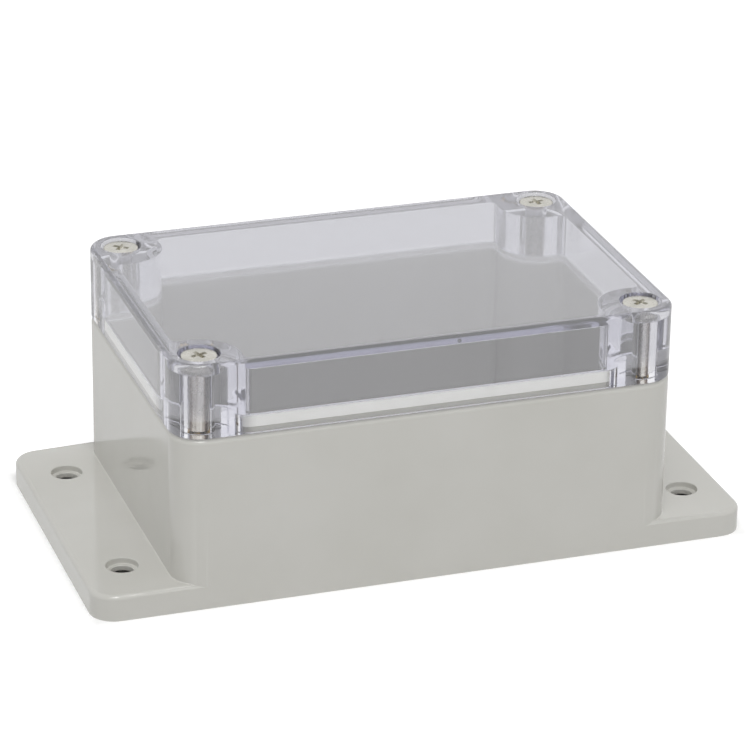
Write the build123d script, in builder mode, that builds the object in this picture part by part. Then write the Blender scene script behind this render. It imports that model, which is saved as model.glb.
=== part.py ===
from build123d import *
import os

# Body and lid, in millimetres. X runs along the length, the front face looks to -Y.
LENGTH = 100.0
WIDTH = 68.0
HEIGHT = 50.0
LID_HEIGHT = 15.0
CORNER_R = 6.1
WALL = 3.0
FLOOR = 3.0
LID_PLATE = 2.5
LID_TOP_CHAMFER = 0.6
RIM_CHAMFER = 0.7

# Mounting flanges at the two ends: a skin cored from below between a rim and two cross ribs, and the screw holes
FLANGE_REACH = 16.0
FLANGE_THICK = 5.2
FLANGE_SKIN = 2.2
FLANGE_RIM = 2.4
RIB_THICK = 1.8
FLANGE_CORNER_R = 5.0
FLANGE_CHAMFER = 0.6
HOLE_SPACING_X = 115.0
HOLE_SPACING_Y = 43.0
HOLE_R = 2.2
DISH_R = 3.1
DISH_DEPTH = 1.2

# Corner blocks: the walls swell inward round each screw
SCREW_INSET = 6.1
BLOCK_R = 8.0
BLOCK_FILLET = 1.5

# Seal: a strip in the lid's groove, pressed by the rim that stands up from the base
GROOVE_INSET = 0.8
GROOVE_WIDTH = 1.4
GROOVE_DEPTH = 3.7
RIM_STEP = 1.3
RIM_LIP = 1.0
RIM_GAP = 0.2
SEAL_GAP = 0.05
PARTING_GAP = 0.15

# Lid screws
SHANK_R = 1.95
SHANK_LENGTH = 20.0
SHANK_GAP = 0.3
HEAD_R = 3.5
HEAD_HEIGHT = 2.4
HEAD_CHAMFER = 0.4
HEAD_SINK = 0.4
HEAD_GAP = 0.5
SEAT_GAP = 0.05

# Threaded inserts in the base's corner posts
INSERT_R = 2.8
INSERT_LENGTH = 8.0
INSERT_SINK = 0.2
THREAD_GAP = 0.1
TIP_ROOM = 3.0

# Standoffs for a circuit board on the floor, clear of the end walls and of the corner blocks
STANDOFF_R = 3.0
STANDOFF_HEIGHT = 5.0
STANDOFF_WALL_GAP = 3.0
STANDOFF_BLOCK_GAP = 1.9
PILOT_R = 1.1
PILOT_DEPTH = 6.0

# Levels and places that follow from the sizes above
SPLIT = HEIGHT - LID_HEIGHT
CEILING = HEIGHT - LID_PLATE
GROOVE_ROOF = SPLIT + GROOVE_DEPTH
RIM_LEVEL = SPLIT + RIM_STEP
RIM_TOP = RIM_LEVEL + RIM_LIP
LID_LIP_LEVEL = RIM_TOP + RIM_GAP
HEAD_SEAT = HEIGHT - HEAD_SINK - HEAD_HEIGHT
BORE_R = SHANK_R + SHANK_GAP
GROOVE_OUTSIDE = GROOVE_INSET + GROOVE_WIDTH
SCREW_SPACING_X = LENGTH - 2 * SCREW_INSET
SCREW_SPACING_Y = WIDTH - 2 * SCREW_INSET
BOARD_SPACING_X = LENGTH - 2 * (WALL + STANDOFF_WALL_GAP + STANDOFF_R)
BOARD_SPACING_Y = SCREW_SPACING_Y - 2 * (BLOCK_R + STANDOFF_BLOCK_GAP + STANDOFF_R)
CORNERS = {
    "front_left": (-SCREW_SPACING_X / 2, -SCREW_SPACING_Y / 2),
    "front_right": (SCREW_SPACING_X / 2, -SCREW_SPACING_Y / 2),
    "back_left": (-SCREW_SPACING_X / 2, SCREW_SPACING_Y / 2),
    "back_right": (SCREW_SPACING_X / 2, SCREW_SPACING_Y / 2),
}


def body_outline():
    """Outside of the base's tub and of the lid, seen from above."""
    with BuildSketch() as outline:
        RectangleRounded(LENGTH, WIDTH, CORNER_R)
    return outline.sketch


def inside_outline(grow=0.0):
    """Inside of the walls with the four corner blocks, moved outward into the wall by grow."""
    with BuildSketch() as outline:
        Rectangle(LENGTH - 2 * WALL, WIDTH - 2 * WALL)
        with GridLocations(SCREW_SPACING_X, SCREW_SPACING_Y, 2, 2):
            Circle(BLOCK_R, mode=Mode.SUBTRACT)
        fillet(outline.vertices(), BLOCK_FILLET)
        if grow:
            offset(amount=grow)
    return outline.sketch


def ring(outside, inside):
    """Band between two moved copies of the inside outline."""
    with BuildSketch() as band:
        add(inside_outline(outside))
        add(inside_outline(inside), mode=Mode.SUBTRACT)
    return band.sketch


# Base: tub and end flanges in one moulding
with BuildPart() as base:
    with BuildSketch():
        RectangleRounded(LENGTH + 2 * FLANGE_REACH, WIDTH, FLANGE_CORNER_R)
    extrude(amount=FLANGE_THICK)
    chamfer(base.faces().sort_by(Axis.Z)[-1].edges(), FLANGE_CHAMFER)
    with BuildSketch():
        add(body_outline())
    extrude(amount=SPLIT)
    chamfer(base.faces().sort_by(Axis.Z)[-1].edges(), RIM_CHAMFER)
    # Rim that enters the lid: a step under the seal and a lip inside it
    with BuildSketch(Plane.XY.offset(SPLIT)):
        add(inside_outline(GROOVE_OUTSIDE - RIM_GAP))
    extrude(amount=RIM_STEP)
    with BuildSketch(Plane.XY.offset(RIM_LEVEL)):
        add(inside_outline(GROOVE_INSET - RIM_GAP))
    extrude(amount=RIM_LIP)
    # Hollow
    with BuildSketch(Plane.XY.offset(FLOOR)):
        add(inside_outline())
    extrude(amount=RIM_TOP - FLOOR, mode=Mode.SUBTRACT)
    # Blind holes of the corner posts: the inserts above, room for the screws' tips below
    with Locations((0, 0, SPLIT)):
        with GridLocations(SCREW_SPACING_X, SCREW_SPACING_Y, 2, 2):
            Hole(INSERT_R, depth=INSERT_SINK + INSERT_LENGTH + TIP_ROOM)
    # Standoffs on the floor
    with BuildSketch(Plane.XY.offset(FLOOR)):
        with GridLocations(BOARD_SPACING_X, BOARD_SPACING_Y, 2, 2):
            Circle(STANDOFF_R)
    extrude(amount=STANDOFF_HEIGHT)
    with BuildSketch(Plane.XY.offset(FLOOR + STANDOFF_HEIGHT)):
        with GridLocations(BOARD_SPACING_X, BOARD_SPACING_Y, 2, 2):
            Circle(PILOT_R)
    extrude(amount=-PILOT_DEPTH, mode=Mode.SUBTRACT)
    # Flanges cored from below
    with BuildSketch():
        RectangleRounded(LENGTH + 2 * (FLANGE_REACH - FLANGE_RIM), WIDTH - 2 * FLANGE_RIM, FLANGE_CORNER_R - FLANGE_RIM)
        Rectangle(LENGTH, WIDTH, mode=Mode.SUBTRACT)
        with GridLocations(0, HOLE_SPACING_Y / 2, 1, 2):
            Rectangle(LENGTH + 2 * FLANGE_REACH, RIB_THICK, mode=Mode.SUBTRACT)
    extrude(amount=FLANGE_THICK - FLANGE_SKIN, mode=Mode.SUBTRACT)
    # Dished screw holes of the flanges
    with Locations((0, 0, FLANGE_THICK)):
        with GridLocations(HOLE_SPACING_X, HOLE_SPACING_Y, 2, 2):
            CounterBoreHole(HOLE_R, DISH_R, DISH_DEPTH, FLANGE_THICK)
base.part.label = "base"


# Lid: clear cover that rests on the seal, its groove open below and its screw columns solid
with BuildPart() as lid:
    with BuildSketch(Plane.XY.offset(SPLIT + PARTING_GAP)):
        add(body_outline())
    extrude(amount=LID_HEIGHT - PARTING_GAP)
    chamfer(lid.faces().sort_by(Axis.Z)[-1].edges(), LID_TOP_CHAMFER)
    with BuildSketch(Plane.XY.offset(SPLIT)):
        add(inside_outline())
    extrude(amount=CEILING - SPLIT, mode=Mode.SUBTRACT)
    with BuildSketch(Plane.XY.offset(SPLIT)):
        add(ring(GROOVE_OUTSIDE, GROOVE_INSET))
    extrude(amount=GROOVE_DEPTH, mode=Mode.SUBTRACT)
    with BuildSketch(Plane.XY.offset(SPLIT)):
        add(ring(GROOVE_OUTSIDE, 0))
    extrude(amount=LID_LIP_LEVEL - SPLIT, mode=Mode.SUBTRACT)
    with Locations((0, 0, HEIGHT)):
        with GridLocations(SCREW_SPACING_X, SCREW_SPACING_Y, 2, 2):
            CounterBoreHole(
                radius=BORE_R,
                counter_bore_radius=HEAD_R + HEAD_GAP,
                counter_bore_depth=HEIGHT - HEAD_SEAT,
                depth=LID_HEIGHT,
            )
lid.part.label = "lid"


# Gasket: closed strip that fills the groove above the rim's step
with BuildPart() as gasket:
    with BuildSketch(Plane.XY.offset(RIM_LEVEL)):
        add(ring(GROOVE_OUTSIDE - SEAL_GAP, GROOVE_INSET + SEAL_GAP))
    extrude(amount=GROOVE_ROOF - SEAL_GAP - RIM_LEVEL)
gasket.part.label = "gasket"


def screw_at(x, y):
    """Pan-head screw seated in its counterbore."""
    with BuildPart() as screw:
        with BuildSketch(Plane.XY.offset(HEAD_SEAT + SEAT_GAP)):
            with Locations((x, y)):
                Circle(HEAD_R)
        extrude(amount=HEAD_HEIGHT)
        chamfer(screw.faces().sort_by(Axis.Z)[-1].edges(), HEAD_CHAMFER)
        with BuildSketch(Plane.XY.offset(HEAD_SEAT + SEAT_GAP)):
            with Locations((x, y)):
                Circle(SHANK_R)
        extrude(amount=-SHANK_LENGTH)
    return screw.part


def insert_at(x, y):
    """Threaded insert, level with the bottom of its recess in the post."""
    with BuildPart() as insert:
        with BuildSketch(Plane.XY.offset(SPLIT - INSERT_SINK)):
            with Locations((x, y)):
                Circle(INSERT_R)
                Circle(SHANK_R + THREAD_GAP, mode=Mode.SUBTRACT)
        extrude(amount=-INSERT_LENGTH)
    return insert.part


os.makedirs("parts", exist_ok=True)
for piece in (base.part, lid.part, gasket.part):
    export_step(piece, f"parts/{piece.label}.step")
for corner, (x, y) in CORNERS.items():
    for kind, make in (("screw", screw_at), ("insert", insert_at)):
        piece = make(x, y)
        piece.label = f"{kind}_{corner}"
        export_step(piece, f"parts/{piece.label}.step")
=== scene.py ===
import math
import bmesh
import bpy
from mathutils import Matrix, Vector


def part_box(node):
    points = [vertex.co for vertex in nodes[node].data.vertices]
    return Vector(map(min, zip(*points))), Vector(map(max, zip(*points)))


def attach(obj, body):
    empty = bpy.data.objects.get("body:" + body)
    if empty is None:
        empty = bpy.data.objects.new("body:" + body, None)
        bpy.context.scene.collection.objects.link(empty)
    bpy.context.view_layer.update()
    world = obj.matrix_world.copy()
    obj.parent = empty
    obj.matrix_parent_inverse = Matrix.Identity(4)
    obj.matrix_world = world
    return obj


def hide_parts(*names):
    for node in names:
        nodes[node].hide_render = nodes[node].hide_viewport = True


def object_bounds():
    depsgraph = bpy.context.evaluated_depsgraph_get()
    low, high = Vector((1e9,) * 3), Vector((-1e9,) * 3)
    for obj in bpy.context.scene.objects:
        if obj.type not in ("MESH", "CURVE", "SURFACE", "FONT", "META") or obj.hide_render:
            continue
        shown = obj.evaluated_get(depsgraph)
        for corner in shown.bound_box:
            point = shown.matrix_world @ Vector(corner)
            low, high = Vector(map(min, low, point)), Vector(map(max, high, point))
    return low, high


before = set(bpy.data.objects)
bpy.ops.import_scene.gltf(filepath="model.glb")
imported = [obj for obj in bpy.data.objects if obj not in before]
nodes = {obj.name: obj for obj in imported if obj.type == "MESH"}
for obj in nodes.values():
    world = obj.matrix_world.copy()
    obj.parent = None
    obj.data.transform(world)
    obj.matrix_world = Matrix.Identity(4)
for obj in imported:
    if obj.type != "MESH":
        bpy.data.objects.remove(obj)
solid_low, solid_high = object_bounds()
scene = bpy.context.scene
MM = 0.001

# Camera of the photograph, fitted to the box's own edges, in millimetres and radians
CAMERA_PLACE = Vector((-209.917, -612.434, 313.625))
CAMERA_YAW = 0.331
CAMERA_PITCH = 0.416
CAMERA_ROLL = 0.015
CAMERA_LENS = 171.29
CAMERA_SENSOR = 36.0

# White surroundings: their level as light, and the sines of elevation between which they stop lighting
# what is behind the lid
SURROUNDINGS_LEVEL = 0.64
LOW_SKY = (0.2, 0.6)

# Point that the lamps look at, in metres
LAMP_TARGET = Vector((0, 0, 0.02))

# Glow of the floor, and the distances from the flanges' edges, in millimetres, between which it sets in
FLOOR_GLOW = 0.3
GLOW_STARTS = (-1.0, 4.0)

# Width of a rounded edge in millimetres, on the edges of chamfers and on square ones
BASE_ROUNDS = (0.3, 0.2)
LID_ROUNDS = (0.3, 0.15)

# Angles in degrees: an edge is rounded above the first and square above the second, and flat facets merge
# up to the third. Corners closer than the distance, in metres, are one
EDGE_ANGLE = 32
SQUARE_ANGLE = 60
FACET_ANGLE = 0.3
WELD_DISTANCE = 2e-7

# Where the base's edges stay sharp, in millimetres and mirrored on X and Y: the flange's chamfer as it runs
# out on the tub's corner, the parting line's level, and the underside with its coring and the tub's floor
FLANGE_RUNOUT = ((43.8, 47.2), (33.3, 34.1), (4.5, 5.3))
PARTING_LEVEL = ((0, 70), (0, 40), (34.9, 35.1))
UNDERSIDE = ((0, 70), (0, 40), (-0.1, 3.05))

# Below this height, in millimetres, the lid's wall is thin beside the seal. There it is whiter and clearer
# than the
# rest, with no haze: painted light that brightens the seal seen through it. The haze sets in over the next
# half millimetre
CLEAR_SKIRT_BELOW = 38.5
CLEAR_SKIRT_FADE = 0.5

# Lid screws, in millimetres, and the turn of each driver recess, in degrees
CORNERS = ("front_left", "front_right", "back_left", "back_right")
RECESS_TURNS = {"front_left": 19.0, "front_right": 34.0, "back_left": 52.0, "back_right": 8.0}
TURNED_STEPS = 64
TIP_R = 1.3
TIP_CHAMFER = 0.45
NECK_R = 1.9
NECK_FILLET = 0.15
HEAD_UNDERSIDE = 47.2
HEAD_HEIGHT = 2.4
HEAD_R = 3.5
HEAD_LOWER_EDGE = (0.08, 0.1)
HEAD_ROUND = 0.3
ROUND_STEPS = 5
HEAD_CROWN = 0.05
CROWN_R = 1.6
CROWN_DROP = 0.01

# Driver recess from its bottom up: reach of a wing, half its width, and height from the head's top
RECESS_RINGS = ((0.55, 0.2125, -1.7), (0.95, 0.306, -1.35), (1.6, 0.425, -0.12), (1.72, 0.525, 0.3))

# Threads, in millimetres. The ridge's foot and crest are half widths, its sink is how deep it starts in the
# core or the nut, and it stands proud of the neck
THREAD_PITCH = 0.7
THREAD_DEPTH = 0.36
THREAD_LENGTH = 7.9
THREAD_START = 0.5
THREAD_PLAIN = 0.9
THREAD_RUNOUT = 0.4
THREAD_STEPS = 32
RIDGE_FOOT = 0.33
RIDGE_CREST = 0.06
RIDGE_SINK = 0.03
RIDGE_PROUD = 0.04
CORE_R = NECK_R - THREAD_DEPTH

# Threaded inserts, in millimetres. A turned groove's outline goes by height from its start and depth
INSERT_BORE_R = 2.05
BORE_CHAMFER = 0.3
FOOT_CHAMFER = 0.25
TOP_CHAMFER = 0.2
FIRST_GROOVE = 1.4
GROOVE_SPACING = 2.1
GROOVE_COUNT = 3
GROOVE_OUTLINE = ((0, 0), (0.2, 0.25), (0.8, 0.25), (1.0, 0))
NUT_THREAD_R = 1.8
NUT_THREAD_END = 0.5

# Trimmed gate on the lid's front wall: its place, and its outline from its depth in the wall to its face
GATE_PLACE = (5.0, -33.98, 48.85)
GATE_OUTLINE = ((0, -0.5), (0.16, -0.44), (0.26, -0.24), (0.37, -0.1),
                (0.42, -0.04), (0.36, 0), (0.2, -0.02), (0, -0.05))
GATE_STEPS = 32


def linear(code):
    """Linear colour of an sRGB hex code."""
    parts = [int(code[i:i + 2], 16) / 255 for i in (1, 3, 5)]
    return tuple(p / 12.92 if p <= 0.04045 else ((p + 0.055) / 1.055) ** 2.4 for p in parts) + (1.0,)


def per_mm(size):
    """Noise scale whose grains are about size millimetres, for coordinates in metres."""
    return 1.0 / (size * MM)


def add(tree, kind, inputs=None, **settings):
    """Adds a node, sets its properties, and sets or links its inputs."""
    made = tree.nodes.new(kind)
    for name, value in settings.items():
        setattr(made, name, value)
    for name, value in (inputs or {}).items():
        if isinstance(value, bpy.types.NodeSocket):
            tree.links.new(value, made.inputs[name])
        else:
            made.inputs[name].default_value = value
    return made


def new_material(name):
    """Material with an empty node tree."""
    made = bpy.data.materials.new(name)
    made.use_nodes = True
    made.node_tree.nodes.clear()
    return made, made.node_tree


def give(piece, finish):
    """Puts one material on a whole piece."""
    piece.data.materials.clear()
    piece.data.materials.append(finish)


def moulded_abs():
    """Light warm grey ABS out of a polished mould.

    Gives the eye an even, faintly warm grey, a gloss in which an end wall mirrors its flange at a low angle,
    and a very fine orange peel.
    """
    finish, tree = new_material("moulded_light_grey_abs")
    place = add(tree, "ShaderNodeTexCoord").outputs["Object"]
    cloud = add(tree, "ShaderNodeTexNoise", {
        "Vector": place, "Scale": per_mm(22), "Detail": 3.0, "Roughness": 0.55})
    peel = add(tree, "ShaderNodeTexNoise", {
        "Vector": place, "Scale": per_mm(1.6), "Detail": 2.0, "Roughness": 0.5})
    grain = add(tree, "ShaderNodeTexNoise", {
        "Vector": place, "Scale": per_mm(0.35), "Detail": 2.0, "Roughness": 0.6})
    tone = add(tree, "ShaderNodeValToRGB", {"Fac": cloud.outputs["Fac"]})
    tone.color_ramp.elements[0].position = 0.3
    tone.color_ramp.elements[0].color = linear("#C1C0BA")
    tone.color_ramp.elements[1].position = 0.72
    tone.color_ramp.elements[1].color = linear("#C6C5C0")
    gloss = add(tree, "ShaderNodeMapRange", {
        "Value": peel.outputs["Fac"], "From Min": 0.3, "From Max": 0.7, "To Min": 0.07, "To Max": 0.13})
    relief = add(tree, "ShaderNodeBump", {
        "Height": grain.outputs["Fac"], "Strength": 0.03, "Distance": 0.03 * MM})
    relief = add(tree, "ShaderNodeBump", {
        "Height": peel.outputs["Fac"], "Strength": 0.08, "Distance": 0.03 * MM,
        "Normal": relief.outputs["Normal"]})
    skin = add(tree, "ShaderNodeBsdfPrincipled", {
        "Base Color": tone.outputs["Color"], "Roughness": gloss.outputs["Result"], "IOR": 1.54,
        "Normal": relief.outputs["Normal"]})
    add(tree, "ShaderNodeOutputMaterial", {"Surface": skin.outputs["BSDF"]})
    return finish


def clear_polycarbonate():
    """Clear polycarbonate, 2.5 to 3 mm thick, out of a polished mould.

    Gives the eye strong bending at the edges, bright lines round the screw columns, and a cool violet
    grey that deepens with the length of the way through the material.
    """
    finish, tree = new_material("clear_moulded_polycarbonate")
    place = add(tree, "ShaderNodeTexCoord").outputs["Object"]
    flow = add(tree, "ShaderNodeTexNoise", {
        "Vector": place, "Scale": per_mm(14), "Detail": 1.5, "Roughness": 0.4})
    haze = add(tree, "ShaderNodeTexNoise", {
        "Vector": place, "Scale": per_mm(5), "Detail": 3.0, "Roughness": 0.6})
    gloss = add(tree, "ShaderNodeMapRange", {
        "Value": haze.outputs["Fac"], "From Min": 0.35, "From Max": 0.75, "To Min": 0.03, "To Max": 0.08})
    relief = add(tree, "ShaderNodeBump", {
        "Height": flow.outputs["Fac"], "Strength": 0.2, "Distance": 0.08 * MM})
    height = add(tree, "ShaderNodeSeparateXYZ", {"Vector": place})
    # Below the seal's top the wall is whiter and fully clear: painted light that brightens the seal behind it
    thick = add(tree, "ShaderNodeMapRange", {
        "Value": height.outputs["Z"], "From Min": CLEAR_SKIRT_BELOW * MM, "From Max": (CLEAR_SKIRT_BELOW + CLEAR_SKIRT_FADE) * MM})
    tint = add(tree, "ShaderNodeMix", {
        "Factor": thick.outputs["Result"], "A": linear("#FEFEFE"), "B": linear("#EDEDF1")}, data_type="RGBA")
    # Light that stays inside the wall keeps its strength, so the haze is on the outer side of each face alone
    inside = add(tree, "ShaderNodeNewGeometry").outputs["Backfacing"]
    clearness = add(tree, "ShaderNodeMapRange", {
        "Value": thick.outputs["Result"], "To Min": 1.0, "To Max": 0.8})
    clearness = add(tree, "ShaderNodeMath", {
        0: clearness.outputs["Result"], 1: inside}, operation="MAXIMUM")
    skin = add(tree, "ShaderNodeBsdfPrincipled", {
        "Base Color": tint.outputs["Result"], "Roughness": gloss.outputs["Result"], "IOR": 1.586,
        "Transmission Weight": clearness.outputs[0], "Normal": relief.outputs["Normal"]})
    depth = add(tree, "ShaderNodeVolumeAbsorption", {"Color": linear("#6161A2"), "Density": 16.0})
    # Lamps and the white surroundings reach what is behind the lid, as they do through a thin clear wall
    lets_light_in = add(tree, "ShaderNodeBsdfTransparent", {"Color": linear("#FDFDFE")})
    shadow = add(tree, "ShaderNodeLightPath").outputs["Is Shadow Ray"]
    surface = add(tree, "ShaderNodeMixShader", {
        0: shadow, 1: skin.outputs["BSDF"], 2: lets_light_in.outputs["BSDF"]})
    add(tree, "ShaderNodeOutputMaterial", {
        "Surface": surface.outputs["Shader"], "Volume": depth.outputs["Volume"]})
    return finish


def seal_silicone():
    """Off-white silicone strip, moulded.

    Gives the eye a matt white with a soft mottling and no sharp reflection.
    """
    finish, tree = new_material("off_white_silicone")
    place = add(tree, "ShaderNodeTexCoord").outputs["Object"]
    mottle = add(tree, "ShaderNodeTexNoise", {
        "Vector": place, "Scale": per_mm(6), "Detail": 3.0, "Roughness": 0.6})
    skin_grain = add(tree, "ShaderNodeTexNoise", {"Vector": place, "Scale": per_mm(0.4), "Detail": 2.0})
    tone = add(tree, "ShaderNodeValToRGB", {"Fac": mottle.outputs["Fac"]})
    tone.color_ramp.elements[0].position = 0.3
    tone.color_ramp.elements[0].color = linear("#F6F6F3")
    tone.color_ramp.elements[1].position = 0.75
    tone.color_ramp.elements[1].color = linear("#FCFCFA")
    relief = add(tree, "ShaderNodeBump", {
        "Height": skin_grain.outputs["Fac"], "Strength": 0.2, "Distance": 0.04 * MM})
    skin = add(tree, "ShaderNodeBsdfPrincipled", {
        "Base Color": tone.outputs["Color"], "Roughness": 0.62, "IOR": 1.41,
        "Normal": relief.outputs["Normal"]})
    add(tree, "ShaderNodeOutputMaterial", {"Surface": skin.outputs["BSDF"]})
    return finish


def plated_steel():
    """Steel, cold headed from drawn wire, zinc plated and passivated pale yellow.

    Gives the eye a pale warm head with slightly duller patches, and a shank streaked along its length,
    silver to brown. The streaks are partly the plating's own colour where it is thin over the drawn wire, and
    partly painted reflection and painted shade that stand in for the shank's light and dark bands.
    """
    finish, tree = new_material("pale_yellow_zinc_plated_steel")
    place = add(tree, "ShaderNodeTexCoord").outputs["Object"]
    patch = add(tree, "ShaderNodeTexNoise", {
        "Vector": place, "Scale": per_mm(1.8), "Detail": 3.0, "Roughness": 0.6})
    stretched = add(tree, "ShaderNodeMapping", {"Vector": place, "Scale": (1.0, 1.0, 0.03)})
    drawn = add(tree, "ShaderNodeTexNoise", {
        "Vector": stretched.outputs["Vector"], "Scale": per_mm(1.1), "Detail": 2.0})
    plating = add(tree, "ShaderNodeValToRGB", {"Fac": patch.outputs["Fac"]})
    plating.color_ramp.elements[0].position = 0.3
    plating.color_ramp.elements[0].color = linear("#B9B7AF")
    plating.color_ramp.elements[1].position = 0.7
    plating.color_ramp.elements[1].color = linear("#D2D0C9")
    # Streaks along the shank, silver to dark brown: partly the thin plating's own colour, partly painted
    # reflection and painted shade
    wire = add(tree, "ShaderNodeValToRGB", {"Fac": drawn.outputs["Fac"]})
    wire.color_ramp.elements[0].position = 0.38
    wire.color_ramp.elements[0].color = linear("#54423A")
    wire.color_ramp.elements[1].position = 0.58
    wire.color_ramp.elements[1].color = linear("#DCD9D2")
    middle = wire.color_ramp.elements.new(0.47)
    middle.color = linear("#A59C92")
    height = add(tree, "ShaderNodeSeparateXYZ", {"Vector": place})
    on_head = add(tree, "ShaderNodeMath", {
        0: height.outputs["Z"], 1: HEAD_UNDERSIDE * MM}, operation="GREATER_THAN")
    tone = add(tree, "ShaderNodeMix", {
        "Factor": on_head.outputs[0], "A": wire.outputs["Color"], "B": plating.outputs["Color"]},
        data_type="RGBA")
    gloss = add(tree, "ShaderNodeMapRange", {
        "Value": patch.outputs["Fac"], "From Min": 0.3, "From Max": 0.7, "To Min": 0.2, "To Max": 0.34})
    relief = add(tree, "ShaderNodeBump", {
        "Height": drawn.outputs["Fac"], "Strength": 0.05, "Distance": 0.02 * MM})
    skin = add(tree, "ShaderNodeBsdfPrincipled", {
        "Base Color": tone.outputs["Result"], "Metallic": 1.0, "Roughness": gloss.outputs["Result"],
        "Normal": relief.outputs["Normal"]})
    add(tree, "ShaderNodeOutputMaterial", {"Surface": skin.outputs["BSDF"]})
    return finish


def turned_brass():
    """Free-cutting brass, turned.

    Gives the eye a warm yellow metal with slightly duller patches.
    """
    finish, tree = new_material("turned_brass")
    place = add(tree, "ShaderNodeTexCoord").outputs["Object"]
    patch = add(tree, "ShaderNodeTexNoise", {
        "Vector": place, "Scale": per_mm(1.2), "Detail": 3.0, "Roughness": 0.6})
    tone = add(tree, "ShaderNodeValToRGB", {"Fac": patch.outputs["Fac"]})
    tone.color_ramp.elements[0].position = 0.3
    tone.color_ramp.elements[0].color = linear("#C8A45A")
    tone.color_ramp.elements[1].position = 0.7
    tone.color_ramp.elements[1].color = linear("#DABB75")
    gloss = add(tree, "ShaderNodeMapRange", {
        "Value": patch.outputs["Fac"], "From Min": 0.3, "From Max": 0.7, "To Min": 0.22, "To Max": 0.36})
    skin = add(tree, "ShaderNodeBsdfPrincipled", {
        "Base Color": tone.outputs["Color"], "Metallic": 1.0, "Roughness": gloss.outputs["Result"]})
    add(tree, "ShaderNodeOutputMaterial", {"Surface": skin.outputs["BSDF"]})
    return finish


def sheared_polycarbonate():
    """Polycarbonate, torn where the gate was sheared off.

    Gives the eye a small rough dark dot.
    """
    finish, tree = new_material("sheared_polycarbonate")
    place = add(tree, "ShaderNodeTexCoord").outputs["Object"]
    tear = add(tree, "ShaderNodeTexNoise", {"Vector": place, "Scale": per_mm(0.2), "Detail": 3.0})
    tone = add(tree, "ShaderNodeValToRGB", {"Fac": tear.outputs["Fac"]})
    tone.color_ramp.elements[0].color = linear("#3C3C44")
    tone.color_ramp.elements[1].color = linear("#8C8C96")
    relief = add(tree, "ShaderNodeBump", {
        "Height": tear.outputs["Fac"], "Strength": 0.5, "Distance": 0.05 * MM})
    skin = add(tree, "ShaderNodeBsdfPrincipled", {
        "Base Color": tone.outputs["Color"], "Roughness": 0.55, "IOR": 1.586,
        "Normal": relief.outputs["Normal"]})
    add(tree, "ShaderNodeOutputMaterial", {"Surface": skin.outputs["BSDF"]})
    return finish


def seen_directly(tree):
    """1 for a ray that shows the surroundings to the camera, also off or through the box, and else 0."""
    path = add(tree, "ShaderNodeLightPath")
    seen = add(tree, "ShaderNodeMath", {0: path.outputs["Is Camera Ray"], 1: path.outputs["Is Glossy Ray"]},
               operation="MAXIMUM")
    seen = add(tree, "ShaderNodeMath", {0: seen.outputs[0], 1: path.outputs["Is Transmission Ray"]},
               operation="MAXIMUM")
    first = add(tree, "ShaderNodeMath", {0: path.outputs["Diffuse Depth"], 1: 0.5}, operation="LESS_THAN")
    seen = add(tree, "ShaderNodeMath", {0: seen.outputs[0], 1: first.outputs[0]}, operation="MULTIPLY")
    return path, seen.outputs[0]


def studio_floor():
    """Matt white card, glowing faintly away from the box.

    Gives the eye an even white ground that keeps the box's soft shadow, darkness under the flanges, and
    painted shade round them where the glow fades out.
    """
    finish, tree = new_material("matt_white_card")
    path, seen = seen_directly(tree)
    through = add(tree, "ShaderNodeMix", {
        "Factor": path.outputs["Is Transmission Ray"], "A": linear("#FEFEFE"), "B": linear("#F0F0F0")},
        data_type="RGBA")
    tone = add(tree, "ShaderNodeMix", {
        "Factor": seen, "A": linear("#E6E6E6"), "B": through.outputs["Result"]}, data_type="RGBA")
    card = add(tree, "ShaderNodeBsdfDiffuse", {"Color": tone.outputs["Result"]})
    # The glow fades from full 4 mm outside the box's edges to none 1 mm inside them. This paints shade round
    # the box's foot, and leaves no glow in the real shade under its flanges
    place = add(tree, "ShaderNodeSeparateXYZ", {"Vector": add(tree, "ShaderNodeTexCoord").outputs["Object"]})
    sides = [add(tree, "ShaderNodeMath", {0: place.outputs[axis]}, operation="ABSOLUTE") for axis in "XY"]
    sides = [add(tree, "ShaderNodeMath", {0: side.outputs[0], 1: edge}, operation="SUBTRACT")
             for side, edge in zip(sides, (solid_high.x, solid_high.y))]
    outside = add(tree, "ShaderNodeMath", {
        0: sides[0].outputs[0], 1: sides[1].outputs[0]}, operation="MAXIMUM")
    glow_level = add(tree, "ShaderNodeMapRange", {
        "Value": outside.outputs[0], "From Min": GLOW_STARTS[0] * MM, "From Max": GLOW_STARTS[1] * MM,
        "To Min": 0.0, "To Max": FLOOR_GLOW})
    lift = add(tree, "ShaderNodeMath", {0: path.outputs["Is Camera Ray"], 1: glow_level.outputs["Result"]},
               operation="MULTIPLY")
    glow = add(tree, "ShaderNodeEmission", {"Strength": lift.outputs[0]})
    skin = add(tree, "ShaderNodeAddShader", {0: card.outputs["BSDF"], 1: glow.outputs["Emission"]})
    add(tree, "ShaderNodeOutputMaterial", {"Surface": skin.outputs["Shader"]})
    return finish


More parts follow.
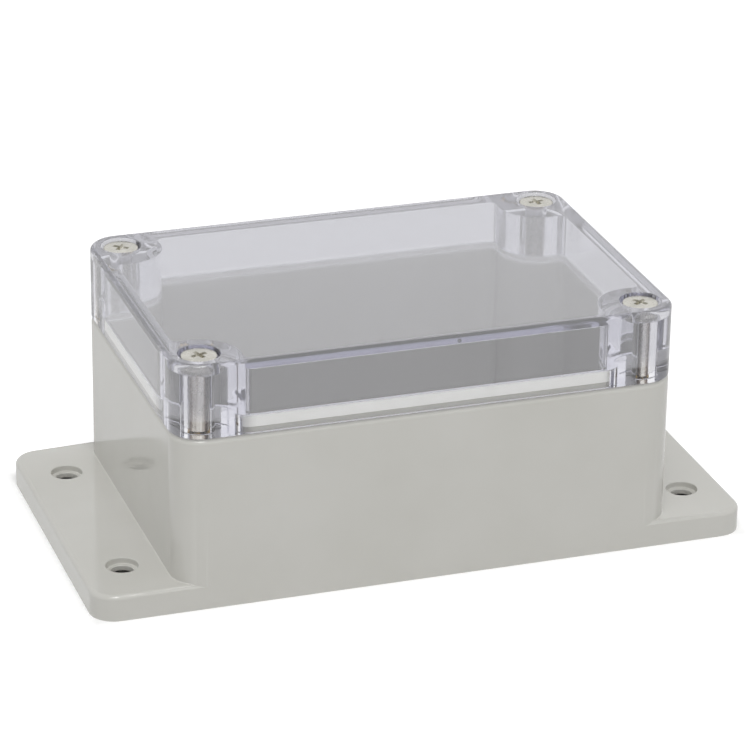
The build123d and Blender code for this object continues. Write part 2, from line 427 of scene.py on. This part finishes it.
def soften_edges(piece, chamfer_width, corner_width, leave=()):
    """Rounds a CAD solid's edges as a mould does, the edges of its chamfers more than its square ones.

    The mesh stays as it is: modifiers merge its facets, mark each edge by its angle, round it and smooth it.
    leave gives boxes, mirrored on X and Y, in which edges stay sharp.
    """
    marks = bpy.data.node_groups.new(f"{piece.name}_edge_marks", "GeometryNodeTree")
    marks.interface.new_socket("Geometry", in_out="INPUT", socket_type="NodeSocketGeometry")
    marks.interface.new_socket("Geometry", in_out="OUTPUT", socket_type="NodeSocketGeometry")
    start = add(marks, "NodeGroupInput")
    angle = add(marks, "GeometryNodeInputMeshEdgeAngle").outputs["Unsigned Angle"]
    is_edge = add(marks, "ShaderNodeMath", {0: angle, 1: math.radians(EDGE_ANGLE)}, operation="GREATER_THAN")
    is_square = add(marks, "ShaderNodeMath", {
        0: angle, 1: math.radians(SQUARE_ANGLE)}, operation="GREATER_THAN")
    weight = add(marks, "ShaderNodeMapRange", {
        "Value": is_square.outputs[0], "To Min": 1.0, "To Max": corner_width / chamfer_width})
    weight = add(marks, "ShaderNodeMath", {
        0: weight.outputs["Result"], 1: is_edge.outputs[0]}, operation="MULTIPLY")
    middle = add(marks, "GeometryNodeInputPosition").outputs["Position"]
    place = add(marks, "ShaderNodeSeparateXYZ", {"Vector": middle})
    soft = 1.0
    for box in leave:
        inside = 1.0
        for axis, (low, high) in zip("XYZ", box):
            size = add(marks, "ShaderNodeMath", {0: place.outputs[axis]}, operation="ABSOLUTE")
            near = add(marks, "ShaderNodeMath", {
                0: size.outputs[0], 1: (low + high) / 2 * MM, 2: (high - low) / 2 * MM}, operation="COMPARE")
            within = add(marks, "ShaderNodeMath", {0: inside, 1: near.outputs[0]}, operation="MULTIPLY")
            inside = within.outputs[0]
        free = add(marks, "ShaderNodeMath", {0: 1.0, 1: inside}, operation="SUBTRACT")
        weight = add(marks, "ShaderNodeMath", {
            0: weight.outputs[0], 1: free.outputs[0]}, operation="MULTIPLY")
        sharp = add(marks, "ShaderNodeMath", {0: inside, 1: is_edge.outputs[0]}, operation="MULTIPLY")
        soft = add(marks, "ShaderNodeMath", {0: soft, 1: sharp.outputs[0]}, operation="SUBTRACT").outputs[0]
    soft = add(marks, "ShaderNodeMath", {0: soft, 1: 0.5}, operation="GREATER_THAN")
    plain = add(marks, "GeometryNodeRemoveAttribute", {"Geometry": start.outputs[0], "Name": "custom_normal"})
    smooth = add(marks, "GeometryNodeSetShadeSmooth", {"Geometry": plain.outputs[0], "Shade Smooth": True})
    smooth = add(marks, "GeometryNodeSetShadeSmooth", {
        "Geometry": smooth.outputs[0], "Shade Smooth": soft.outputs[0]}, domain="EDGE")
    marked = add(marks, "GeometryNodeStoreNamedAttribute", {
        "Geometry": smooth.outputs[0], "Name": "bevel_weight_edge", "Value": weight.outputs[0]},
        data_type="FLOAT", domain="EDGE")
    add(marks, "NodeGroupOutput", {0: marked.outputs[0]})

    merge = piece.modifiers.new("merge_corners", "WELD")
    merge.merge_threshold = WELD_DISTANCE
    flat = piece.modifiers.new("merge_facets", "DECIMATE")
    flat.decimate_type = "DISSOLVE"
    flat.angle_limit = math.radians(FACET_ANGLE)
    mark = piece.modifiers.new("mark_edges", "NODES")
    mark.node_group = marks
    rounding = piece.modifiers.new("round_edges", "BEVEL")
    rounding.width = chamfer_width * MM
    rounding.segments = 3
    rounding.limit_method = "WEIGHT"
    rounding.use_clamp_overlap = False
    shading = piece.modifiers.new("even_shading", "WEIGHTED_NORMAL")
    shading.keep_sharp = True


def new_piece(name, made):
    """Object in the scene out of a finished bmesh."""
    mesh = bpy.data.meshes.new(name)
    made.to_mesh(mesh)
    made.free()
    piece = bpy.data.objects.new(name, mesh)
    scene.collection.objects.link(piece)
    return piece


def discard(piece):
    """Removes a helper object with its mesh."""
    mesh = piece.data
    bpy.data.objects.remove(piece)
    bpy.data.meshes.remove(mesh)


def lathe(name, profile, steps):
    """Closed turned mesh about Z from (radius, height) pairs in millimetres.

    The first and last pair lie on the axis, or are the same one for a ring.
    """
    made = bmesh.new()
    rings = []
    for radius, height in profile:
        if rings and (radius, height) == profile[0]:
            rings.append(rings[0])
            continue
        if radius == 0:
            rings.append([made.verts.new((0, 0, height * MM))])
            continue
        ring = []
        for k in range(steps):
            turn = 2 * math.pi * k / steps
            ring.append(made.verts.new((radius * MM * math.cos(turn), radius * MM * math.sin(turn),
                                        height * MM)))
        rings.append(ring)
    for lower, upper in zip(rings, rings[1:]):
        for k in range(steps):
            n = (k + 1) % steps
            if len(lower) == 1:
                made.faces.new((lower[0], upper[n], upper[k]))
            elif len(upper) == 1:
                made.faces.new((lower[k], lower[n], upper[0]))
            else:
                made.faces.new((lower[k], lower[n], upper[n], upper[k]))
    bmesh.ops.recalc_face_normals(made, faces=made.faces)
    return new_piece(name, made)


def smooth_by_angle(piece, degrees):
    """Smooth shading with the edges sharper than the angle kept crisp."""
    made = bmesh.new()
    made.from_mesh(piece.data)
    for face in made.faces:
        face.smooth = True
    for edge in made.edges:
        edge.smooth = len(edge.link_faces) == 2 and edge.calc_face_angle() < math.radians(degrees)
    made.to_mesh(piece.data)
    made.free()


def apply_modifiers(piece):
    """Turns a piece's modifiers into its mesh."""
    graph = bpy.context.evaluated_depsgraph_get()
    mesh = bpy.data.meshes.new_from_object(piece.evaluated_get(graph))
    piece.modifiers.clear()
    old = piece.data
    piece.data = mesh
    bpy.data.meshes.remove(old)


def screw_profile(top, tip):
    """Outline of a cheese-head screw from the tip up: chamfered tip, thread core, neck and flat head."""
    seat = top - HEAD_HEIGHT
    core_end = tip + THREAD_LENGTH
    edge_in, edge_up = HEAD_LOWER_EDGE
    points = [
        (0, tip), (TIP_R, tip), (CORE_R, tip + TIP_CHAMFER), (CORE_R, core_end),
        (NECK_R, core_end + THREAD_RUNOUT), (NECK_R, seat - NECK_FILLET), (NECK_R + NECK_FILLET, seat),
        (HEAD_R - edge_in, seat), (HEAD_R, seat + edge_up),
    ]
    for k in range(ROUND_STEPS + 1):
        turn = math.radians(90 / ROUND_STEPS * k)
        points.append((HEAD_R - HEAD_ROUND * (1 - math.cos(turn)),
                       top - HEAD_CROWN - HEAD_ROUND * (1 - math.sin(turn))))
    return points + [(CROWN_R, top - CROWN_DROP), (0, top)]


def thread_ridge(name, start, length, root, top):
    """Helical ridge of a thread from its root radius to its top radius, which is smaller in a nut."""
    made = bmesh.new()
    steps = THREAD_STEPS
    turns = length / THREAD_PITCH
    rows = []
    for k in range(int(turns * steps) + 1):
        turn = 2 * math.pi * k / steps
        middle = start + THREAD_PITCH * k / steps
        fade = min(1.0, k / steps, (turns * steps - k) / steps)
        crest = root + (top - root) * fade
        section = ((root, -RIDGE_FOOT), (crest, -RIDGE_CREST), (crest, RIDGE_CREST), (root, RIDGE_FOOT))
        rows.append([made.verts.new((radius * MM * math.cos(turn), radius * MM * math.sin(turn),
                                     (middle + rise) * MM)) for radius, rise in section])
    for a, b in zip(rows, rows[1:]):
        for j in range(4):
            made.faces.new((a[j], b[j], b[(j + 1) % 4], a[(j + 1) % 4]))
    made.faces.new(rows[0])
    made.faces.new(rows[-1][::-1])
    bmesh.ops.recalc_face_normals(made, faces=made.faces)
    return new_piece(name, made)


def cross_cutter(name, top, turn):
    """Tapered four-winged driver recess, larger at the head's top."""
    made = bmesh.new()
    rings = []
    for reach, half, height in RECESS_RINGS:
        ring = []
        for quarter in range(4):
            spin = Matrix.Rotation(quarter * math.pi / 2 + turn, 2)
            for x, y in ((half, -half), (reach, -half), (reach, half)):
                flat = spin @ Vector((x, y))
                ring.append(made.verts.new((flat.x * MM, flat.y * MM, (top + height) * MM)))
        rings.append(ring)
    for lower, upper in zip(rings, rings[1:]):
        for k in range(len(lower)):
            n = (k + 1) % len(lower)
            made.faces.new((lower[k], lower[n], upper[n], upper[k]))
    made.faces.new(rings[0][::-1])
    made.faces.new(rings[-1])
    bmesh.ops.recalc_face_normals(made, faces=made.faces)
    return new_piece(name, made)


def join(pieces, name):
    """One object out of several meshes."""
    made = bmesh.new()
    for piece in pieces:
        made.from_mesh(piece.data)
        discard(piece)
    return new_piece(name, made)


def place_at_node(piece, node):
    """Moves a mesh built on the Z axis to a node's own axis."""
    low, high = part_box(node)
    piece.data.transform(Matrix.Translation(((low.x + high.x) / 2, (low.y + high.y) / 2, 0)))


def detailed_screw(corner, finish):
    """Lid screw with its driver recess, smooth neck and thread."""
    node = f"screw_{corner}"
    low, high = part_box(node)
    tip, top = low.z / MM, high.z / MM
    body = lathe(f"{node}_body_form", screw_profile(top, tip), TURNED_STEPS)
    cutter = cross_cutter(f"{node}_recess_form", top, math.radians(RECESS_TURNS[corner]))
    cut = body.modifiers.new("recess", "BOOLEAN")
    cut.operation = "DIFFERENCE"
    cut.solver = "EXACT"
    cut.object = cutter
    apply_modifiers(body)
    discard(cutter)
    ridge = thread_ridge(f"{node}_thread_form", tip + THREAD_START, THREAD_LENGTH - THREAD_PLAIN,
                         CORE_R - RIDGE_SINK, NECK_R + RIDGE_PROUD)
    piece = join([body, ridge], f"{node}_detail")
    smooth_by_angle(piece, degrees=40)
    place_at_node(piece, node)
    give(piece, finish)
    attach(piece, f"{node}_body")
    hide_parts(node)


def detailed_insert(corner, finish):
    """Threaded insert: chamfered bore, grooves outside and a thread that fits between the screw's turns."""
    node = f"insert_{corner}"
    low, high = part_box(node)
    bottom, top = low.z / MM, high.z / MM
    outside = (high.x - low.x) / 2 / MM
    profile = [(INSERT_BORE_R, bottom + BORE_CHAMFER), (INSERT_BORE_R + BORE_CHAMFER, bottom),
               (outside - FOOT_CHAMFER, bottom), (outside, bottom + FOOT_CHAMFER)]
    for k in range(GROOVE_COUNT):
        groove = bottom + FIRST_GROOVE + GROOVE_SPACING * k
        profile += [(outside - depth, groove + height) for height, depth in GROOVE_OUTLINE]
    profile += [(outside, top - TOP_CHAMFER), (outside - TOP_CHAMFER, top),
                (INSERT_BORE_R + BORE_CHAMFER, top), (INSERT_BORE_R, top - BORE_CHAMFER)]
    profile.append(profile[0])
    body = lathe(f"{node}_body_form", profile, TURNED_STEPS)
    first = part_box(f"screw_{corner}")[0].z / MM + THREAD_START + THREAD_PITCH / 2
    ridge = thread_ridge(f"{node}_thread_form", first, top - NUT_THREAD_END - first,
                         INSERT_BORE_R + RIDGE_SINK, NUT_THREAD_R)
    piece = join([body, ridge], f"{node}_detail")
    smooth_by_angle(piece, degrees=30)
    place_at_node(piece, node)
    give(piece, finish)
    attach(piece, "base_body")
    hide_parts(node)


def gate_mark(finish):
    """Sheared plug where the lid's front wall was filled, flush with it, just below its top edge."""
    stub = lathe("lid_gate_mark", GATE_OUTLINE, GATE_STEPS)
    stub.data.transform(Matrix.Translation(Vector(GATE_PLACE) * MM) @ Matrix.Rotation(math.pi / 2, 4, "X"))
    smooth_by_angle(stub, degrees=40)
    give(stub, finish)
    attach(stub, "lid_body")


def camera_like_photo():
    """Camera at the photograph's viewing point."""
    ahead = Vector((math.sin(CAMERA_YAW) * math.cos(CAMERA_PITCH),
                    math.cos(CAMERA_YAW) * math.cos(CAMERA_PITCH), -math.sin(CAMERA_PITCH)))
    level = Vector((math.cos(CAMERA_YAW), -math.sin(CAMERA_YAW), 0))
    upright = level.cross(ahead)
    right = level * math.cos(CAMERA_ROLL) + upright * math.sin(CAMERA_ROLL)
    up = upright * math.cos(CAMERA_ROLL) - level * math.sin(CAMERA_ROLL)
    lens = bpy.data.cameras.new("product_camera")
    lens.sensor_fit = "HORIZONTAL"
    lens.sensor_width = CAMERA_SENSOR
    lens.lens = CAMERA_LENS
    lens.clip_start = 0.02
    lens.clip_end = 20.0
    eye = bpy.data.objects.new("product_camera", lens)
    turn = Matrix((right, up, -ahead)).transposed().to_4x4()
    eye.matrix_world = Matrix.Translation(CAMERA_PLACE * MM) @ turn
    scene.collection.objects.link(eye)
    scene.camera = eye


def soft_lamp(name, place, size, power):
    """Square area lamp that looks at the box, placed and sized in metres.

    A ray bent by the lid doesn't meet the lamp, whose light comes straight in.
    """
    lamp = bpy.data.lights.new(name, "AREA")
    lamp.shape = "SQUARE"
    lamp.size = size
    lamp.energy = power
    stand = bpy.data.objects.new(name, lamp)
    stand.visible_transmission = False
    way = LAMP_TARGET - Vector(place)
    stand.matrix_world = Matrix.Translation(place) @ way.to_track_quat("-Z", "Y").to_matrix().to_4x4()
    scene.collection.objects.link(stand)


def studio():
    """White surroundings at a plain level, three soft lamps and a pale floor.

    What is behind the lid gets its light mostly from the lamps and from the low part of the surroundings.
    """
    world = bpy.data.worlds.new("white_studio")
    scene.world = world
    world.use_nodes = True
    tree = world.node_tree
    tree.nodes.clear()
    path, seen = seen_directly(tree)
    way = add(tree, "ShaderNodeSeparateXYZ", {"Vector": add(tree, "ShaderNodeTexCoord").outputs["Generated"]})
    low_sky = add(tree, "ShaderNodeMapRange", {
        "Value": way.outputs["Z"], "From Min": LOW_SKY[0], "From Max": LOW_SKY[1],
        "To Min": SURROUNDINGS_LEVEL, "To Max": 0.0})
    light = add(tree, "ShaderNodeMapRange", {
        "Value": path.outputs["Is Transmission Ray"], "To Min": SURROUNDINGS_LEVEL,
        "To Max": low_sky.outputs["Result"]})
    level = add(tree, "ShaderNodeMapRange", {"Value": seen, "To Min": light.outputs["Result"], "To Max": 1.0})
    sky = add(tree, "ShaderNodeBackground", {"Color": linear("#FFFFFF"), "Strength": level.outputs["Result"]})
    add(tree, "ShaderNodeOutputWorld", {"Surface": sky.outputs["Background"]})
    soft_lamp("soft_lamp_key", place=(-0.2, -0.7, 1.3), size=0.9, power=5.0)
    soft_lamp("soft_lamp_back", place=(0.3, 0.4, 1.5), size=1.1, power=0.6)
    soft_lamp("soft_lamp_front", place=(-0.1, -0.6, 1.04), size=0.35, power=2.0)

    card = bmesh.new()
    bmesh.ops.create_circle(card, cap_ends=True, segments=96, radius=6.0)
    floor = new_piece("studio_floor", card)
    give(floor, studio_floor())


scene.view_settings.view_transform = "Standard"
# Light runs along inside the clear lid's walls and plate, off face after face
scene.cycles.blur_glossy = 0.0
scene.cycles.max_bounces = 24
scene.cycles.glossy_bounces = 12
scene.cycles.transmission_bounces = 20
camera_like_photo()
studio()

give(nodes["base"], moulded_abs())
soften_edges(nodes["base"], *BASE_ROUNDS, leave=(FLANGE_RUNOUT, PARTING_LEVEL, UNDERSIDE))
give(nodes["lid"], clear_polycarbonate())
soften_edges(nodes["lid"], *LID_ROUNDS)
give(nodes["gasket"], seal_silicone())
brass = turned_brass()
for corner in CORNERS:
    detailed_insert(corner, brass)
steel = plated_steel()
for corner in CORNERS:
    detailed_screw(corner, steel)
gate_mark(sheared_polycarbonate())
